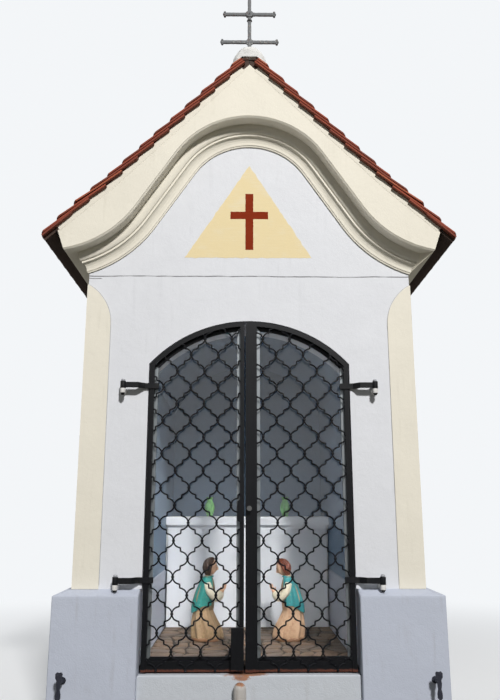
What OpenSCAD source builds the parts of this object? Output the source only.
// Baroque wayside shrine: a rendered masonry chapel with a curved gable cornice, a broken-pitch
// tile roof, an iron cross, and a pair of glazed wrought-iron gate leaves that swing outwards.
// Millimetres, Z up. The origin lies on the ground under the middle of the plan; the front faces -Y.

/* [Walls] */
// Width over the rendered walls, above the plinth
body_w = 2060; // [1960:10:2200]
// Depth from the front wall face to the back wall face
body_d = 2300; // [2200:10:2600]
// Thickness of every wall
wall_t = 390; // [340:10:420]
// Width of the raised corner strips
strip_w = 150; // [110:5:190]
// How far the corner strips stand out from the wall
strip_t = 6; // [4:1:12]
// Height where the inner edge of a corner strip starts to curve outwards
strip_turn_z = 2750; // [2600:10:2820]
// Height at which that curve reaches the corner of the building
strip_top_z = 3010; // [2960:10:3060]

/* [Plinth] */
// Height of the plinth where it meets the wall
plinth_z = 1150; // [1100:10:1165]
// How far the plinth stands out at the sides and at the back
plinth_side = 100; // [80:5:120]
// How far the plinth stands out at the front
plinth_front = 80; // [60:5:80]
// Drop of the sloped top of the plinth, from the wall to its outer edge
plinth_fall = 30; // [10:5:40]
// Gap between the two front blocks of the plinth
porch_w = 1270; // [1266:2:1276]
// Top of the apron wall under the gate
apron_z = 690; // [640:5:695]
// How far the apron wall stands out from the wall face
apron_front = 40; // [20:5:50]
// How far the apron wall reaches in under the gate
apron_back = 60; // [50:2:80]
// Width and depth of the rendered stop post under the gate
post_w = 72; // [50:2:90]
// Top of the stop post
post_z = 660; // [560:10:670]
// Distance of the stop post's axis to the left of the middle
post_x = 53; // [40:1:80]

/* [Room] */
// Height of the stone floor inside
floor_z = 730; // [700:5:760]
// Thickness of the floor slabs
floor_t = 50; // [40:5:60]
// Inner radius of the barrel vault
vault_r = 700; // [680:10:800]
// Height of the vault's crown
vault_z = 2850; // [2800:10:3000]
// Thickness of the vault
vault_t = 120; // [80:10:140]

/* [Doorway] */
// Width over both gate leaves
gate_w = 1240; // [1200:2:1244]
// Bottom edge of the leaves
gate_z = 700; // [698:1:740]
// Height of the leaves at the outer edge, where the arch springs
spring_z = 2490; // [2420:10:2540]
// Rise of the leaves' arch above the spring
arch_rise = 274; // [240:2:290]
// Gap between a leaf and the masonry around it
gate_gap = 7; // [6:0.5:12]

/* [Gable] */
// How far the gables and their cornices stand out from the front and back walls
gable_out = 165; // [130:1:175]
// How far the cornice stands out from the side walls
gable_p = 137; // [110:1:145]
// Height of the cornice moulding, measured across its run
mould_h = 142; // [126:1:150]
// Lower edge of the gable block at its outer end
eaves_z = 3198; // [3180:2:3240]
// Radius of the gable's round top, at the lower edge of the block
crown_r = 570; // [550:2:590]
// Slope of the straight flanks
flank_a = 56.4; // [55:0.2:58]
// Radius of the hollow curve at the foot of each flank
foot_r = 660; // [640:5:680]
// Slope of the cornice at its outer end
end_a = 10; // [8:0.1:12]
// Height of the slanted end of the gable block
end_h = 114; // [100:1:124]
// Outward lean of that slanted end
end_lean = 39; // [30:1:50]
// Joint between the cornice moulding and the block over it
bed_gap = 1.7; // [1.7:0.1:3]

/* [Roof] */
// Pitch of the upper slopes
pitch_top = 45.5; // [44:0.1:47]
// Pitch of the flatter eaves courses
pitch_low = 42; // [40:0.1:43.5]
// Distance of the break in the pitch, inwards from the wall face
break_in = 150; // [100:5:200]
// How far the eaves stand out from the side walls
eaves_out = 250; // [240:5:300]
// How far the tiles stand out in front of the gable face
verge_out = 40; // [30:1:60]
// Thickness of the tile covering
tile_t = 58; // [44:1:66]
// Thickness of the roof boards
board_t = 20; // [18:1:30]
// Gap between the roof boards and the masonry under them
board_seat = 0.3; // [0.2:0.1:0.5]
// Height of the wall plate above the eaves line
plate_h = 35; // [20:1:50]
// Outer radius of the ridge tiles
ridge_r = 85; // [80:1:95]
// Wall thickness of the ridge tiles
ridge_t = 16; // [12:1:20]
// How far the ridge tiles rise above the line where the slopes meet
ridge_lift = 16; // [12:1:24]

/* [Finial] */
// Radius of the mortar cap at its foot
cap_r = 118; // [110:1:125]
// Height of the mortar cap above the tiled ridge
cap_rise = 30; // [28:1:60]
// Height of the iron cross above the mortar cap
cross_h = 490; // [460:5:520]
// Span of the lower arms
arm_low = 398; // [360:2:420]
// Span of the upper arms
arm_top = 365; // [300:1:390]
// Height of the lower arms above the mortar cap
arm_low_h = 88; // [80:1:120]
// Distance between the lower and the upper arms
arm_gap = 219; // [200:1:240]
// Width of the cross's bars
cross_w = 24; // [20:1:28]
// Thickness of the cross's bars
cross_t = 16; // [12:1:20]
// How deep the cross's foot is set in the mortar cap
tang_h = 24; // [16:1:26]

/* [Gate] */
// Width of the frame bar at the outer edge and along the arch
rim_w = 30; // [26:1:36]
// Depth of the frame bars
rim_d = 60; // [50:1:62]
// Height of the bottom rail
rail_h = 57; // [50:1:70]
// Width of each meeting stile, as seen from the front
meet_w = 25; // [22:1:30]
// Depth of the meeting stiles
meet_d = 40; // [34:1:42]
// Width of the cover strip down the middle
cover_w = 44; // [40:1:48]
// Thickness of the cover strip
cover_t = 8; // [6:1:8]
// Clear gap between the cover strip and the left leaf
meet_gap = 9; // [8:0.5:12]
// How far the leaves stand in front of the wall face
gate_proud = 10; // [6:1:12]
// Width of the inner frame that holds the glass
sash_w = 12; // [10:1:18]
// Width of the glazing beads
bead_w = 8; // [6:1:10]
// Thickness of the glass
glass_t = 6; // [4:1:8]
// Distance of the inner frame behind the wall face
sash_y = 24; // [20:1:30]
// Thickness of the inner frame
sash_t = 12; // [10:1:14]
// How far the bottom rail stands back behind the wall face
rail_y = 0; // [0:1:4]

/* [Grille] */
// Width of a lattice mesh
mesh_w = 169.2; // [150:0.2:180]
// Height of a lattice mesh
mesh_h = 205; // [190:1:220]
// Height of one row of lattice crossings
mesh_z = 2037.6; // [2000:0.2:2080]
// Distance from the middle to the first column of crossings on the left leaf
mesh_left = 110; // [100:1:120]
// The same distance on the right leaf
mesh_right = 85; // [80:1:120]
// Height of the lattice's feet above the leaves' bottom edge
mesh_foot = 8; // [4:1:12]
// Width of the lattice bars, seen from the front
bar_w = 9; // [8:0.5:11]
// Thickness of the lattice bars
bar_t = 9; // [8:0.5:10]
// Height of the small step in the middle of each lattice bar
step_h = 23; // [16:1:28]

/* [Hinges] */
// Distance of the hinge axes from the middle
hinge_x = 775; // [765:1:785]
// Distance of the hinge axes in front of the wall face
hinge_y = 55; // [52:1:60]
// Height of the lower straps
hinge_low_z = 1200; // [1196:1:1230]
// Height of the upper straps
hinge_top_z = 2350; // [2300:5:2400]
// Height of the hinge straps
strap_h = 34; // [28:1:36]
// Thickness of the hinge straps
strap_t = 8; // [6:1:10]
// Radius of the hinge pins
pin_r = 8; // [7:0.5:9]
// Running clearance round the pins
pin_fit = 0.06; // [0.03:0.01:0.1]
// Outer radius of the strap eyes
eye_r = 17; // [15:0.5:19]
// Height of the strap eyes
eye_h = 44; // [40:1:50]
// Gap between an eye and the shoulder under it
eye_seat = 0.3; // [0.2:0.1:0.5]
// Height of the pintle below its shoulder
pintle_h = 40; // [34:1:42]
// Radius of the shank that holds a pintle in the wall
shank_r = 11; // [9:0.5:12]
// Height of the shank's axis above the pintle's foot
shank_up = 26; // [24:1:28]
// How far a strap reaches over its leaf
strap_foot = 60; // [50:1:80]
// Distance from the leaf's edge to the strap's first bend
strap_bend = 25; // [20:1:30]

/* [Lock] */
// Height of the lock plates' middle
lock_z = 1595; // [1560:5:1630]
// Radius of the lock plates
lock_r = 70; // [60:1:80]
// Thickness of the lock plates
lock_t = 5; // [3:0.5:6]
// Width of the lock plate beside the left leaf's stile
lock_w = 16; // [12:1:20]
// Radius of the knob
knob_r = 15; // [12:1:18]
// Length of the knob's neck
knob_neck = 22; // [16:1:28]
// Height of the knob above the lock plates' middle
knob_up = 14; // [0:1:20]
// Width of the bolt's box
bolt_w = 72; // [60:1:80]
// Depth of the bolt's box
bolt_d = 26; // [20:1:30]
// Height of the bolt's box
bolt_h = 230; // [200:5:260]

/* [Catches] */
// Distance of the open-gate catches from the middle
catch_x = 1040; // [1020:5:1050]
// Top of the catches
catch_z = 735; // [725:1:745]
// Height of a catch
catch_h = 145; // [130:1:160]
// Distance from the plinth to the back of a catch
catch_arm = 85; // [84:1:90]
// Thickness of a catch
catch_t = 10; // [8:1:12]

/* [Altar] */
// Height of the altar top
altar_z = 1545; // [1500:5:1580]
// Distance of the altar front behind the front wall face
altar_y = 1340; // [1320:5:1400]
// Thickness of the altar slab
mensa_t = 60; // [50:1:80]
// How far the altar's body stands back under its slab
altar_set = 30; // [20:1:50]
// Gap between the altar's body and the plinth on either side
altar_side = 15; // [10:1:40]
// Thickness of the altar cloth
cloth_t = 4; // [3:0.5:6]
// Gap between the cloth's side edges and the plinth
cloth_side = 4; // [2:1:20]
// Clearance between the cloth and the altar
cloth_fit = 0.3; // [0.2:0.1:0.5]
// Height of the cloth's hem above the floor
hem_z = 40; // [20:1:80]
// Height of the kneeling figures
figure_h = 540; // [500:5:580]
// Distance of the figures behind the front wall face
figure_y = 850; // [800:5:900]
// Distance of each figure from the middle
figure_x = 282; // [270:1:300]
// Height of the vases
vase_h = 150; // [130:1:170]
// Greatest radius of the vases
vase_r = 40; // [34:1:46]
// Distance of each vase from the middle
vase_x = 302; // [270:1:310]
// Distance of the vases behind the altar's front edge
vase_y = 120; // [100:5:160]

/* [Hidden] */

half_w = body_w / 2;
half_d = body_d / 2;
room_w = half_w - wall_t;
base_w = half_w + plinth_side;
porch_x = porch_w / 2;
floor_front = apron_back;
gate_x = gate_w / 2;
arc_r = (gate_x * gate_x + arch_rise * arch_rise) / (2 * arch_rise);
arc_z = spring_z + arch_rise - arc_r;
door_r = arc_r + gate_gap;
door_x = gate_x + gate_gap;
door_spring = arc_z + sqrt(door_r * door_r - door_x * door_x);

// The lower edge of the gable block: a round crown, a straight flank and a hollow foot.
end_x = half_w + gable_p;
flank_l = (end_x - crown_r * sin(flank_a) - foot_r * (sin(flank_a) - sin(end_a))) / cos(flank_a);
crown_z = eaves_z - crown_r * cos(flank_a) + flank_l * sin(flank_a)
    + foot_r * (cos(end_a) - cos(flank_a));
foot_x = end_x + foot_r * sin(end_a);
foot_z = eaves_z + foot_r * cos(end_a);
tip_x = end_x + end_lean;
tip_z = eaves_z + end_h;

// The roof: the boards lie on the tips of the gable block, the tiles lie on the boards.
break_x = half_w - break_in;
eaves_x = half_w + eaves_out;
break_z = tip_z + (tip_x - break_x) * tan(pitch_low);
apex_z = break_z + break_x * tan(pitch_top);
cover_t_all = board_t + tile_t;
ridge_z = apex_z + cover_t_all / cos(pitch_top);
roof_y = half_d + gable_out + verge_out;
board_y = half_d + gable_out;
front_k = gable_out / gable_p;
plate_z = eaves_z + plate_h;

// The gate, seen from the front: y is measured from the wall face, and grows inwards.
leaf_y = -gate_proud;
strip_gap_x = -cover_w / 2 - meet_gap;
meet_left = strip_gap_x - meet_w;
meet_right = cover_w / 2 + meet_w;
glass_y = sash_y + sash_t;
rim_back = leaf_y + rim_d;
cap_y = -gable_out - verge_out + cap_r + 2;
cap_z = ridge_z + cap_rise;
hinge_zs = [hinge_low_z, hinge_top_z];
arc_n = 10;
smooth = 96;
hair = 0.01;

// Colours
c_plaster = [0.86, 0.86, 0.88];
c_cream = [0.91, 0.89, 0.83];
c_plinth = [0.70, 0.72, 0.78];
c_apron = [0.75, 0.77, 0.80];
c_stone = [0.55, 0.49, 0.42];
c_tile = [0.65, 0.28, 0.18];
c_board = [0.18, 0.12, 0.09];
c_iron = [0.12, 0.13, 0.14];
c_grey = [0.45, 0.46, 0.47];
c_glass = [0.45, 0.52, 0.56, 0.5];
c_linen = [0.93, 0.93, 0.91];
c_vase = [0.62, 0.80, 0.60];

// A plate whose outline is drawn in the XZ plane, from depth y0 to depth y1 behind the wall face.
module plate(y0, y1) translate([0, y1 - half_d, 0]) rotate([90, 0, 0]) linear_extrude(y1 - y0) children();

// A bar whose outline is drawn in the YZ plane, from x0 to x1.
module bar_x(x0, x1) translate([x0, 0, 0]) rotate([90, 0, 90]) linear_extrude(x1 - x0) children();

// A box from one corner to the other; y is measured from the front wall face.
module box(a, b) translate([a[0], a[1] - half_d, a[2]]) cube([b[0] - a[0], b[1] - a[1], b[2] - a[2]]);

module mirrored(side) mirror([side < 0 ? 1 : 0, 0, 0]) children();

// Height of the underside of the roof, lifted by t square to the slope, at distance x.
function slope_top(x, t) = apex_z + t / cos(pitch_top) - x * tan(pitch_top);
function slope_low(x, t) = break_z + t / cos(pitch_low) - (x - break_x) * tan(pitch_low);
function knee_x(t) = break_x + t * (1 / cos(pitch_top) - 1 / cos(pitch_low))
    / (tan(pitch_top) - tan(pitch_low));
function roof_line(t, x_end) = [
    [0, slope_top(0, t)], [knee_x(t), slope_low(knee_x(t), t)], [x_end, slope_low(x_end, t)]
];
function flip(points) = [for (i = [len(points) - 1 : -1 : 0]) points[i]];
function mirror_x(points) = [for (i = [len(points) - 1 : -1 : 0]) [-points[i][0], points[i][1]]];

// The moulding's profile, [height across the run, projection from the side wall]: a bead, a
// quarter round, a fillet, a hollow, and the deep flat soffit under the block.
quarter = [for (i = [0 : 5]) let (a = i * 18)
    [mould_h * (0.07 + 0.36 * sin(a)), gable_p * (0.10 + 0.20 * (1 - cos(a)))]];
hollow = [for (i = [0 : 5]) let (a = i * 18)
    [mould_h * (0.52 + 0.40 * (1 - cos(a))), gable_p * (0.32 + 0.12 * sin(a))]];
profile = concat(
    [[0, 0], [0, gable_p * 0.06], [mould_h * 0.05, gable_p * 0.07]],
    quarter, [[mould_h * 0.52, gable_p * 0.30]], hollow,
    [[mould_h * 0.92, gable_p * 0.95]], [for (i = [4 : -1 : 0]) [mould_h - bed_gap, gable_p * i / 4]]
);

// A point of the run that profile height n follows, at slope a on the crown or on the foot.
function on_crown(n, a) = let (r = crown_r - mould_h + n) [r * sin(a), crown_z + r * cos(a)];
function on_foot(n, a) = let (r = foot_r + mould_h - n) [foot_x - r * sin(a), foot_z - r * cos(a)];
function foot_end(n, p) = asin((foot_x - half_w - p) / (foot_r + mould_h - n));
function run_half(n, p) = concat(
    [for (i = [0 : arc_n]) on_crown(n, flank_a * i / arc_n)],
    [for (i = [0 : arc_n]) on_foot(n, flank_a + (foot_end(n, p) - flank_a) * i / arc_n)]
);
function run_full(n, p) = let (h = run_half(n, p))
    concat([for (i = [len(h) - 1 : -1 : 1]) [-h[i][0], h[i][1]]], h);

// Joins rings of points into one closed skin.
module skin(rings) {
    m = len(rings[0]);
    k = len(rings);
    points = [for (r = rings) each r];
    sides = [for (i = [0 : k - 2], j = [0 : m - 1]) let (
        a = i * m + j, b = i * m + (j + 1) % m, c = a + m, d = b + m
    ) each [[a, b, d], [a, d, c]]];
    caps = [[for (j = [m - 1 : -1 : 0]) j], [for (j = [0 : m - 1]) (k - 1) * m + j]];
    polyhedron(points = points, faces = concat(sides, caps), convexity = 10);
}

// The gate's arched outline between x0 and x1, from height z0 up to the arc of radius r.
module arched(x0, x1, z0, r) {
    translate([x0, z0]) square([x1 - x0, arc_z - z0]);
    intersection() {
        translate([x0, arc_z - 1]) square([x1 - x0, r + 1]);
        translate([0, arc_z]) circle(r = r, $fn = 180);
    }
}

// The plinth's mass on one side, with a sloped and hipped top on its three outer faces.
module plinth_side_block() {
    intersection() {
        plate(-plinth_front, body_d + plinth_side) polygon([
            [porch_x, 0], [base_w, 0], [base_w, plinth_z - plinth_fall], [half_w, plinth_z],
            [porch_x, plinth_z]
        ]);
        bar_x(0, base_w) polygon([
            [-half_d - plinth_front, 0], [half_d + plinth_side, 0],
            [half_d + plinth_side, plinth_z - plinth_fall], [half_d, plinth_z],
            [-half_d, plinth_z], [-half_d - plinth_front, plinth_z - plinth_fall]
        ]);
    }
}

module plinth_left() color(c_plinth) mirrored(-1) plinth_side_block();
module plinth_right() color(c_plinth) plinth_side_block();

module plinth_back() color(c_plinth) bar_x(-porch_x, porch_x) polygon([
    [half_d - wall_t, 0], [half_d + plinth_side, 0],
    [half_d + plinth_side, plinth_z - plinth_fall], [half_d, plinth_z], [half_d - wall_t, plinth_z]
]);

module apron_wall() color(c_apron) box([-porch_x, -apron_front, 0], [porch_x, apron_back, apron_z]);

// A rendered post with a rounded head, against the apron wall.
module stop_post() color(c_apron) {
    round_r = post_w / 2;
    translate([-post_x, -apron_front - round_r - half_d, 0]) {
        translate([-round_r, 0, 0]) cube([post_w, round_r, post_z - round_r]);
        cylinder(r = round_r, h = post_z - round_r, $fn = smooth);
        intersection() {
            translate([0, 0, post_z - round_r]) sphere(r = round_r, $fn = smooth);
            translate([-post_w, -post_w, 0]) cube([2 * post_w, post_w + round_r, post_z + 1]);
        }
    }
}

module floor_bed() color(c_stone)
    box([-porch_x, floor_front, 0], [porch_x, body_d - wall_t, floor_z - floor_t]);
module floor_slabs() color(c_stone)
    box([-porch_x, floor_front, floor_z - floor_t], [porch_x, body_d - wall_t, floor_z]);

module front_pier(side) mirrored(side) color(c_plaster)
    box([door_x, 0, plinth_z], [half_w, wall_t, door_spring]);
module front_pier_left() front_pier(-1);
module front_pier_right() front_pier(1);

// The outline of a gable wall above height z, up to the roof boards.
function gable_wall(z) = concat(
    [[half_w, z], [half_w, slope_low(half_w, 0)]],
    flip([for (i = [0 : 1]) roof_line(0, half_w)[i]]),
    mirror_x([[half_w, z], [half_w, slope_low(half_w, 0)], roof_line(0, half_w)[1]])
);

module front_wall_head() color(c_plaster) plate(0, wall_t) difference() {
    polygon(gable_wall(door_spring));
    translate([0, arc_z]) circle(r = door_r, $fn = 180);
}

module side_wall(side) mirrored(side) color(c_plaster) plate(wall_t, body_d - wall_t) polygon([
    [room_w, plinth_z], [half_w, plinth_z], [half_w, slope_low(half_w, 0)],
    [break_x, break_z], [break_x, plate_z], [room_w, plate_z]
]);
module side_wall_left() side_wall(-1);
module side_wall_right() side_wall(1);

module back_wall() color(c_plaster) plate(body_d - wall_t, body_d) polygon(gable_wall(plinth_z));

// A segmental barrel vault between the side walls.
module room_vault() color(c_plaster) plate(wall_t, body_d - wall_t) intersection() {
    difference() {
        translate([0, vault_z - vault_r]) circle(r = vault_r + vault_t, $fn = 180);
        translate([0, vault_z - vault_r]) circle(r = vault_r, $fn = 180);
    }
    translate([-room_w, vault_z - vault_r]) square([2 * room_w, vault_r + vault_t]);
}

// The face of a corner strip, from its inner edge to the corner, with a curved top.
module strip_face(edge, extra) {
    turn_r = (strip_w * strip_w + pow(strip_top_z - strip_turn_z, 2)) / (2 * strip_w);
    intersection() {
        translate([edge - strip_w, plinth_z]) square([strip_w + extra, strip_top_z - plinth_z]);
        union() {
            translate([edge - strip_w, plinth_z])
                square([strip_w + extra, strip_turn_z - plinth_z]);
            translate([edge - strip_w + turn_r, strip_turn_z]) circle(r = turn_r, $fn = 144);
        }
    }
}

module corner_strip() {
    plate(-strip_t, 0) strip_face(half_w, strip_t);
    mirror([0, 1, 0]) bar_x(half_w, half_w + strip_t) strip_face(half_d, strip_t);
}

module corner_strips() color(c_cream) for (sx = [0, 1], sy = [0, 1])
    mirror([sx, 0, 0]) mirror([0, sy, 0]) corner_strip();

// The block above the curved cornice, between the wall face and the gable face.
module gable_block() color(c_cream) plate(-gable_out, 0) polygon(concat(
    run_full(mould_h, gable_p), flip(roof_line(0, tip_x)), mirror_x(flip(roof_line(0, tip_x)))
));
module gable_front() gable_block();
module gable_back() mirror([0, 1, 0]) gable_block();

// The moulding under the gable block: it follows the bell curve, and its ends are mitred.
module gable_cornice() {
    runs = [for (q = profile) run_full(q[0], q[1])];
    color(c_cream) skin([for (i = [0 : len(runs[0]) - 1])
        [for (j = [0 : len(profile) - 1])
            [runs[j][i][0], -half_d - front_k * profile[j][1], runs[j][i][1]]]]);
}
module cornice_front() gable_cornice();
module cornice_back() mirror([0, 1, 0]) gable_cornice();

// The same moulding along the eaves, mitred to the gable cornices.
module side_cornice() {
    ends = [for (q = profile) let (e = on_foot(q[0], foot_end(q[0], q[1]))) [e[0], e[1], front_k * q[1]]];
    color(c_cream) skin([for (s = [-1, 1]) [for (e = ends) [e[0], s * (half_d + e[2]), e[1]]]]);
}
module cornice_right() side_cornice();
module cornice_left() mirror([1, 0, 0]) side_cornice();

// The masonry over the eaves cornice, up to the roof boards.
module eaves_block(side) {
    foot = [for (i = [0 : 4]) on_foot(mould_h, foot_end(mould_h, gable_p * i / 4))];
    mirrored(side) color(c_cream) plate(0, body_d) polygon(concat(
        foot, [[tip_x, tip_z], [half_w, slope_low(half_w, 0)]]
    ));
}
module eaves_block_left() eaves_block(-1);
module eaves_block_right() eaves_block(1);

// One slope of a roof layer, between two heights above the boards' underside; its eaves are cut
// square to the slope.
module roof_layer(side, t0, t1, y_end) mirrored(side)
    translate([0, y_end, 0]) rotate([90, 0, 0]) linear_extrude(2 * y_end)
    polygon(concat(
        roof_line(t0, eaves_x + t0 * sin(pitch_low)),
        flip(roof_line(t1, eaves_x + t1 * sin(pitch_low)))
    ));

module roof_boards_left() color(c_board) roof_layer(-1, board_seat, board_t, board_y);
module roof_boards_right() color(c_board) roof_layer(1, board_seat, board_t, board_y);
module roof_tiles_left() color(c_tile) roof_layer(-1, board_t, cover_t_all, roof_y);
module roof_tiles_right() color(c_tile) roof_layer(1, board_t, cover_t_all, roof_y);

// Half-round tiles along the ridge, behind the mortar cap.
module ridge_tiles() color(c_tile) {
    seat_z = ridge_z + ridge_lift - ridge_r;
    y0 = cap_y + cap_r + 4;
    difference() {
        plate(y0, body_d + gable_out + verge_out) difference() {
            translate([0, seat_z]) circle(r = ridge_r, $fn = smooth);
            translate([0, seat_z]) circle(r = ridge_r - ridge_t, $fn = smooth);
            translate([-ridge_r, seat_z - ridge_r]) square([2 * ridge_r, ridge_r]);
        }
        roof_layer(1, 0, cover_t_all, roof_y + 1);
        roof_layer(-1, 0, cover_t_all, roof_y + 1);
    }
}

// The mortar cap that holds the cross on the front end of the ridge.
module finial_cap() color(c_plaster) difference() {
    translate([0, cap_y - half_d, cap_z - cap_r]) {
        intersection() {
            sphere(r = cap_r, $fn = smooth);
            translate([-cap_r, -cap_r, -0.3 * cap_r]) cube([2 * cap_r, 2 * cap_r, 1.3 * cap_r]);
        }
    }
    roof_layer(1, -board_t, cover_t_all, roof_y + cap_r);
    roof_layer(-1, -board_t, cover_t_all, roof_y + cap_r);
    translate([0, cap_y - half_d, cap_z - tang_h - 0.1])
        cylinder(r = cross_t / 2, h = tang_h + 10, $fn = 48);
}

// One end of a cross bar, with three round lobes.
module cross_end() {
    lobe = cross_w * 0.42;
    translate([-lobe, 0]) circle(r = lobe, $fn = 32);
    for (s = [-1, 1]) translate([-2.2 * lobe, s * lobe]) circle(r = lobe, $fn = 32);
}

module finial_cross() color(c_grey) {
    low = cap_z + arm_low_h;
    top = low + arm_gap;
    translate([0, cap_y + cross_t / 2 - half_d, 0]) rotate([90, 0, 0]) linear_extrude(cross_t) {
        translate([-cross_w / 2, cap_z + 20]) square([cross_w, cross_h - 30]);
        for (s = [0, 1]) mirror([s, 0]) {
            translate([0, low - cross_w / 2]) square([arm_low / 2 - cross_w / 3, cross_w]);
            translate([0, top - cross_w / 2]) square([arm_top / 2 - cross_w / 3, cross_w]);
            translate([arm_low / 2, low]) cross_end();
            translate([arm_top / 2, top]) cross_end();
        }
        translate([0, cap_z + cross_h]) rotate(90) cross_end();
    }
    translate([0, cap_y - half_d, cap_z]) {
        translate([0, 0, -tang_h]) cylinder(r = cross_t / 2 - 0.1, h = tang_h + 12, $fn = 48);
        cylinder(r = cross_w * 0.8, h = 21, $fn = 48);
    }
    translate([0, cap_y + cross_t * 0.8 - half_d, top]) rotate([90, 0, 0])
        cylinder(r = cross_w * 1.2, h = cross_t * 1.6, $fn = 48);
}

module altar_table() color(c_plaster) {
    body_x = porch_x - altar_side;
    box([-body_x, altar_y + altar_set, floor_z], [body_x, body_d - wall_t, altar_z - mensa_t]);
    box([-porch_x, altar_y, altar_z - mensa_t], [porch_x, body_d - wall_t, altar_z]);
}

// The cloth lies over the altar and hangs down its front.
module altar_cloth() color(c_linen) {
    y0 = altar_y - cloth_fit - half_d;
    y1 = half_d - wall_t - cloth_side;
    z1 = altar_z + cloth_fit;
    bar_x(-porch_x + cloth_side, porch_x - cloth_side) polygon([
        [y0 - cloth_t, floor_z + hem_z], [y0, floor_z + hem_z], [y0, z1], [y1, z1],
        [y1, z1 + cloth_t], [y0 - cloth_t, z1 + cloth_t]
    ]);
}

// An oval ring of a kneeling figure: height, forward shift, half length and half width.
function figure_ring(q) = [for (i = [0 : 15]) let (a = -i * 22.5)
    [q[1] + q[2] * cos(a), q[3] * sin(a), q[0]] * figure_h];

// A robed figure that kneels and looks along +X, with its hands joined before its chest.
module kneeling_figure() {
    robe = [
        [0, 0, 0.185, 0.15], [0.06, 0, 0.195, 0.155], [0.15, -0.015, 0.185, 0.15],
        [0.25, -0.04, 0.155, 0.135], [0.35, -0.055, 0.125, 0.12], [0.39, -0.055, 0.145, 0.15],
        [0.5, -0.05, 0.145, 0.155], [0.62, -0.025, 0.125, 0.15], [0.72, -0.005, 0.085, 0.12],
        [0.77, 0.01, 0.045, 0.05]
    ];
    skin([for (q = robe) figure_ring(q)]);
    translate([0.025, 0, 0.885] * figure_h) sphere(r = 0.1 * figure_h, $fn = 48);
    translate([0.02, 0, 0.75] * figure_h) cylinder(r = 0.045 * figure_h, h = 0.08 * figure_h, $fn = 32);
    for (s = [-1, 1]) {
        translate([0.01, s * 0.125, 0.66] * figure_h) rotate([-s * 12, 122, -s * 38])
            cylinder(r1 = 0.05 * figure_h, r2 = 0.035 * figure_h, h = 0.25 * figure_h, $fn = 32);
    }
    translate([0.2, 0, 0.555] * figure_h) sphere(r = 0.055 * figure_h, $fn = 32);
}

module figure_left() color([0.25, 0.50, 0.48])
    translate([-figure_x, figure_y - half_d, floor_z]) kneeling_figure();
module figure_right() color([0.25, 0.50, 0.48])
    translate([figure_x, figure_y - half_d, floor_z]) mirror([1, 0, 0]) kneeling_figure();

// A small turned vase, open at the top.
module vase(side) color(c_vase)
    translate([side * vase_x, altar_y + vase_y - half_d, altar_z + cloth_t + 2 * cloth_fit])
    rotate_extrude($fn = 64) polygon([
        [0, 0], [vase_r * 0.62, 0], [vase_r * 0.66, vase_h * 0.05], [vase_r, vase_h * 0.38],
        [vase_r * 0.92, vase_h * 0.62], [vase_r * 0.56, vase_h * 0.84], [vase_r * 0.78, vase_h],
        [vase_r * 0.66, vase_h], [vase_r * 0.44, vase_h * 0.84], [vase_r * 0.78, vase_h * 0.6],
        [vase_r * 0.84, vase_h * 0.38], [vase_r * 0.5, vase_h * 0.08], [0, vase_h * 0.08]
    ]);
module vase_left() vase(-1);
module vase_right() vase(1);

// A hinge pin with a knob on top, a shoulder under the eye, a drop at its foot, and a shank
// into the wall.
module pintle(z) {
    r = eye_r - 1;
    top = eye_h + 2 * eye_seat;
    translate([hinge_x, -hinge_y - half_d, z - eye_h / 2 - eye_seat]) {
        rotate_extrude($fn = smooth) polygon([
            [0, -pintle_h], [r * 0.5, -pintle_h], [r * 0.8, -pintle_h + 8], [r, -pintle_h + 12],
            [r, 0], [pin_r, 0], [pin_r, top], [pin_r + 3, top], [pin_r + 5, top + 5],
            [pin_r + 3, top + 11], [pin_r - 2, top + 14], [0, top + 14]
        ]);
        translate([0, 0, shank_up - pintle_h]) rotate([-90, 0, 0])
            cylinder(r = shank_r, h = hinge_y, $fn = 48);
    }
}

module pintles(side) mirrored(side) color(c_iron) for (z = hinge_zs) pintle(z);
module pintles_left() pintles(-1);
module pintles_right() pintles(1);

// The outline of a tilting catch: a notched head, a waisted body and a heavy drop.
function catch_side() = [
    [0, -0.02], [0.075, 0], [0.13, -0.05], [0.13, -0.2], [0.07, -0.3], [0.085, -0.42],
    [0.07, -0.56], [0.055, -0.62], [0.095, -0.78], [0.09, -0.93], [0.04, -1]
] * catch_h;

module gate_catches() color(c_iron) for (side = [-1, 1]) mirrored(side) {
    plate(-plinth_front - catch_arm - catch_t, -plinth_front - catch_arm) translate([catch_x, catch_z])
        polygon(concat(catch_side(), mirror_x([for (i = [1 : 10]) catch_side()[i]])));
    translate([catch_x, -plinth_front - half_d, catch_z - catch_h * 0.42]) rotate([90, 0, 0])
        union() {
            cylinder(r = catch_h * 0.06, h = catch_arm + 1, $fn = 48);
            cylinder(r = catch_h * 0.13, h = 5, $fn = 48);
        }
}

// Everything on a leaf is drawn for the right-hand leaf; side -1 gives the left-hand one.
// inner_x is the leaf's edge at the middle, seam_x is where its glass starts.
function inner_x(side) = side > 0 ? -cover_w / 2 + 8 : -strip_gap_x;
function seam_x(side) = side > 0 ? meet_right : -meet_left;

module leaf_frame(side) mirrored(side) color(c_iron) {
    rim_x = gate_x - rim_w;
    seam = seam_x(side);
    plate(leaf_y, rim_back) difference() {
        arched(seam, gate_x, gate_z, arc_r);
        arched(seam - 1, rim_x, gate_z - 1, arc_r - rim_w);
    }
    plate(rail_y, rim_back) translate([seam, gate_z]) square([rim_x - seam, rail_h]);
    plate(leaf_y, leaf_y + meet_d) arched(inner_x(side), seam, gate_z, arc_r);
}
module leaf_frame_left() leaf_frame(-1);
module leaf_frame_right() leaf_frame(1);

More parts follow.
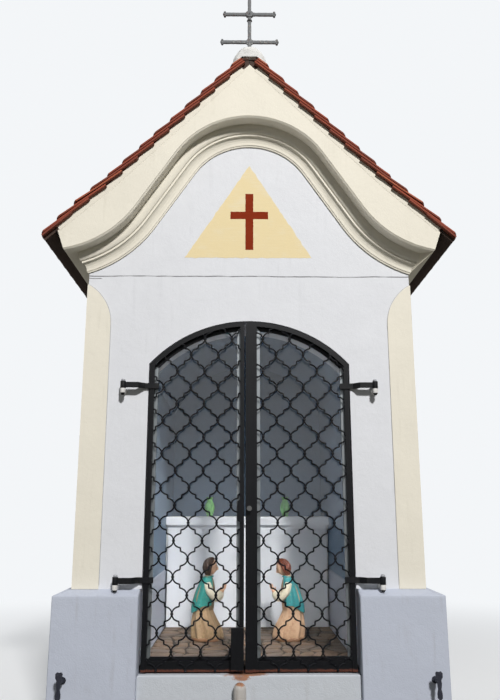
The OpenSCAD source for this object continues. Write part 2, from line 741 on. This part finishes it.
// The inner frame that carries the glass, and the beads before it.
module leaf_sash(side) mirrored(side) color(c_grey) {
    rim_x = gate_x - rim_w;
    r = arc_r - rim_w;
    z0 = gate_z + rail_h;
    seam = seam_x(side);
    w = sash_w + bead_w;
    plate(sash_y, glass_y) difference() {
        arched(seam, rim_x, z0, r);
        arched(seam + w, rim_x - w, z0 + w, r - w);
    }
}
module leaf_sash_left() leaf_sash(-1);
module leaf_sash_right() leaf_sash(1);

module leaf_glass(side) mirrored(side) color(c_glass)
    plate(glass_y, glass_y + glass_t)
        arched(seam_x(side), gate_x - rim_w, gate_z + rail_h, arc_r - rim_w);
module leaf_glass_left() leaf_glass(-1);
module leaf_glass_right() leaf_glass(1);

// The middle line of one lattice bar, from a crossing at the origin to the next one up and to
// the right.
function lattice_half() = let (a = mesh_w / 4, b = (mesh_h / 2 - step_h) / 2)
    [for (t = [0, 42, 80]) [a * (1 - cos(t)) / (1 - cos(80)), b * sin(t) / sin(80)]];
function lattice_path() = let (h = lattice_half())
    concat(h, [for (i = [2 : -1 : 0]) [mesh_w / 2 - h[i][0], mesh_h / 2 - h[i][1]]]);

// The mitred offset of point i of path p, w to its left.
function unit(v) = v / norm(v);
function mitre(p, i, w) = let (
    a = i > 0 ? unit(p[i] - p[i - 1]) : [0, 1],
    b = i < len(p) - 1 ? unit(p[i + 1] - p[i]) : [0, 1],
    n = unit([-a[1] - b[1], a[0] + b[0]])
) p[i] + n * w / (n * [-a[1], a[0]]);

module lattice_bar() {
    p = lattice_path();
    polygon(concat(
        [for (i = [0 : len(p) - 1]) mitre(p, i, bar_w / 2)],
        [for (i = [len(p) - 1 : -1 : 0]) mitre(p, i, -bar_w / 2)]
    ));
}

// The lattice of wavy bars, cut to the inside of the frame; its feet lie on the bottom rail.
module grille(side) mirrored(side) color(c_iron) {
    x0 = side > 0 ? mesh_right : mesh_left;
    cols = ceil((gate_x - x0) / mesh_w) + 1;
    rows = ceil((mesh_z - gate_z) / mesh_h) + 1;
    top_rows = ceil((spring_z + arch_rise - mesh_z) / mesh_h) + 1;
    plate(leaf_y + 1, leaf_y + 1 + bar_t) offset(delta = hair) intersection() {
        arched(seam_x(side) + hair, gate_x - rim_w - hair, gate_z + mesh_foot, arc_r - rim_w - hair);
        for (i = [-1 : cols], j = [-rows : top_rows], k = [0, 1], s = [0, 1])
            translate([x0 + (i + k / 2) * mesh_w, mesh_z + (j + k / 2) * mesh_h]) mirror([s, 0])
                lattice_bar();
    }
}
module grille_left() grille(-1);
module grille_right() grille(1);

// A strap that is cranked forwards to its eye.
module strap(z) {
    foot_x0 = gate_x - strap_foot;
    bend_0 = gate_x + strap_bend;
    bend_1 = bend_0 + hinge_y - gate_proud;
    y_face = leaf_y - half_d;
    y_axis = -hinge_y - half_d;
    h = strap_t / 2;
    translate([0, 0, z - strap_h / 2]) linear_extrude(strap_h) difference() {
        polygon([
            [foot_x0, y_face], [foot_x0, y_face - strap_t], [bend_0, y_face - strap_t],
            [bend_1 - strap_t, y_axis - h], [hinge_x, y_axis - h], [hinge_x, y_axis + h],
            [bend_1, y_axis + h], [bend_0 + strap_t, y_face]
        ]);
        translate([hinge_x, y_axis]) circle(r = pin_r + pin_fit, $fn = smooth);
    }
    translate([hinge_x, y_axis, z - eye_h / 2]) difference() {
        cylinder(r = eye_r, h = eye_h, $fn = smooth);
        translate([0, 0, -1]) cylinder(r = pin_r + pin_fit, h = eye_h + 2, $fn = smooth);
    }
}

module straps(side) mirrored(side) color(c_iron) for (z = hinge_zs) strap(z);
module straps_left() straps(-1);
module straps_right() straps(1);

module cover_strip() color(c_iron) plate(leaf_y - cover_t, leaf_y)
    arched(-cover_w / 2, cover_w / 2, gate_z, arc_r);

// A rounded lock plate on the left leaf, and one with a knob on the cover strip.
module lock_left() color(c_iron) plate(leaf_y - lock_t, leaf_y) intersection() {
    translate([strip_gap_x, lock_z]) circle(r = lock_r, $fn = 96);
    translate([meet_left - lock_w, lock_z - lock_r]) square([meet_w + lock_w, 2 * lock_r]);
}
module lock_right() color(c_iron) {
    face = leaf_y - cover_t;
    plate(face - lock_t, face) intersection() {
        translate([-cover_w / 2, lock_z]) circle(r = lock_r, $fn = 96);
        translate([2 - cover_w / 2, lock_z - lock_r]) square([cover_w - 4, 2 * lock_r]);
    }
    translate([0, face - lock_t - half_d, lock_z + knob_up]) rotate([90, 0, 0]) {
        cylinder(r = knob_r / 2, h = knob_neck, $fn = 48);
        translate([0, 0, knob_neck]) cylinder(r = knob_r, h = knob_r, $fn = 48);
    }
}

// The box of the bolt at the foot of the left leaf.
module bolt_box() color(c_iron) {
    x1 = strip_gap_x - 2;
    z0 = gate_z + 10;
    box([x1 - bolt_w, leaf_y - bolt_d, z0], [x1, leaf_y, z0 + bolt_h]);
}

plinth_left();
plinth_right();
plinth_back();
apron_wall();
stop_post();
floor_bed();
floor_slabs();
front_pier_left();
front_pier_right();
front_wall_head();
side_wall_left();
side_wall_right();
back_wall();
room_vault();
corner_strips();
gable_front();
gable_back();
cornice_front();
cornice_back();
cornice_left();
cornice_right();
eaves_block_left();
eaves_block_right();
roof_boards_left();
roof_boards_right();
roof_tiles_left();
roof_tiles_right();
ridge_tiles();
finial_cap();
finial_cross();
altar_table();
altar_cloth();
figure_left();
figure_right();
vase_left();
vase_right();
pintles_left();
pintles_right();
gate_catches();
leaf_frame_left();
leaf_frame_right();
leaf_sash_left();
leaf_sash_right();
leaf_glass_left();
leaf_glass_right();
grille_left();
grille_right();
straps_left();
straps_right();
lock_left();
lock_right();
bolt_box();
cover_strip();
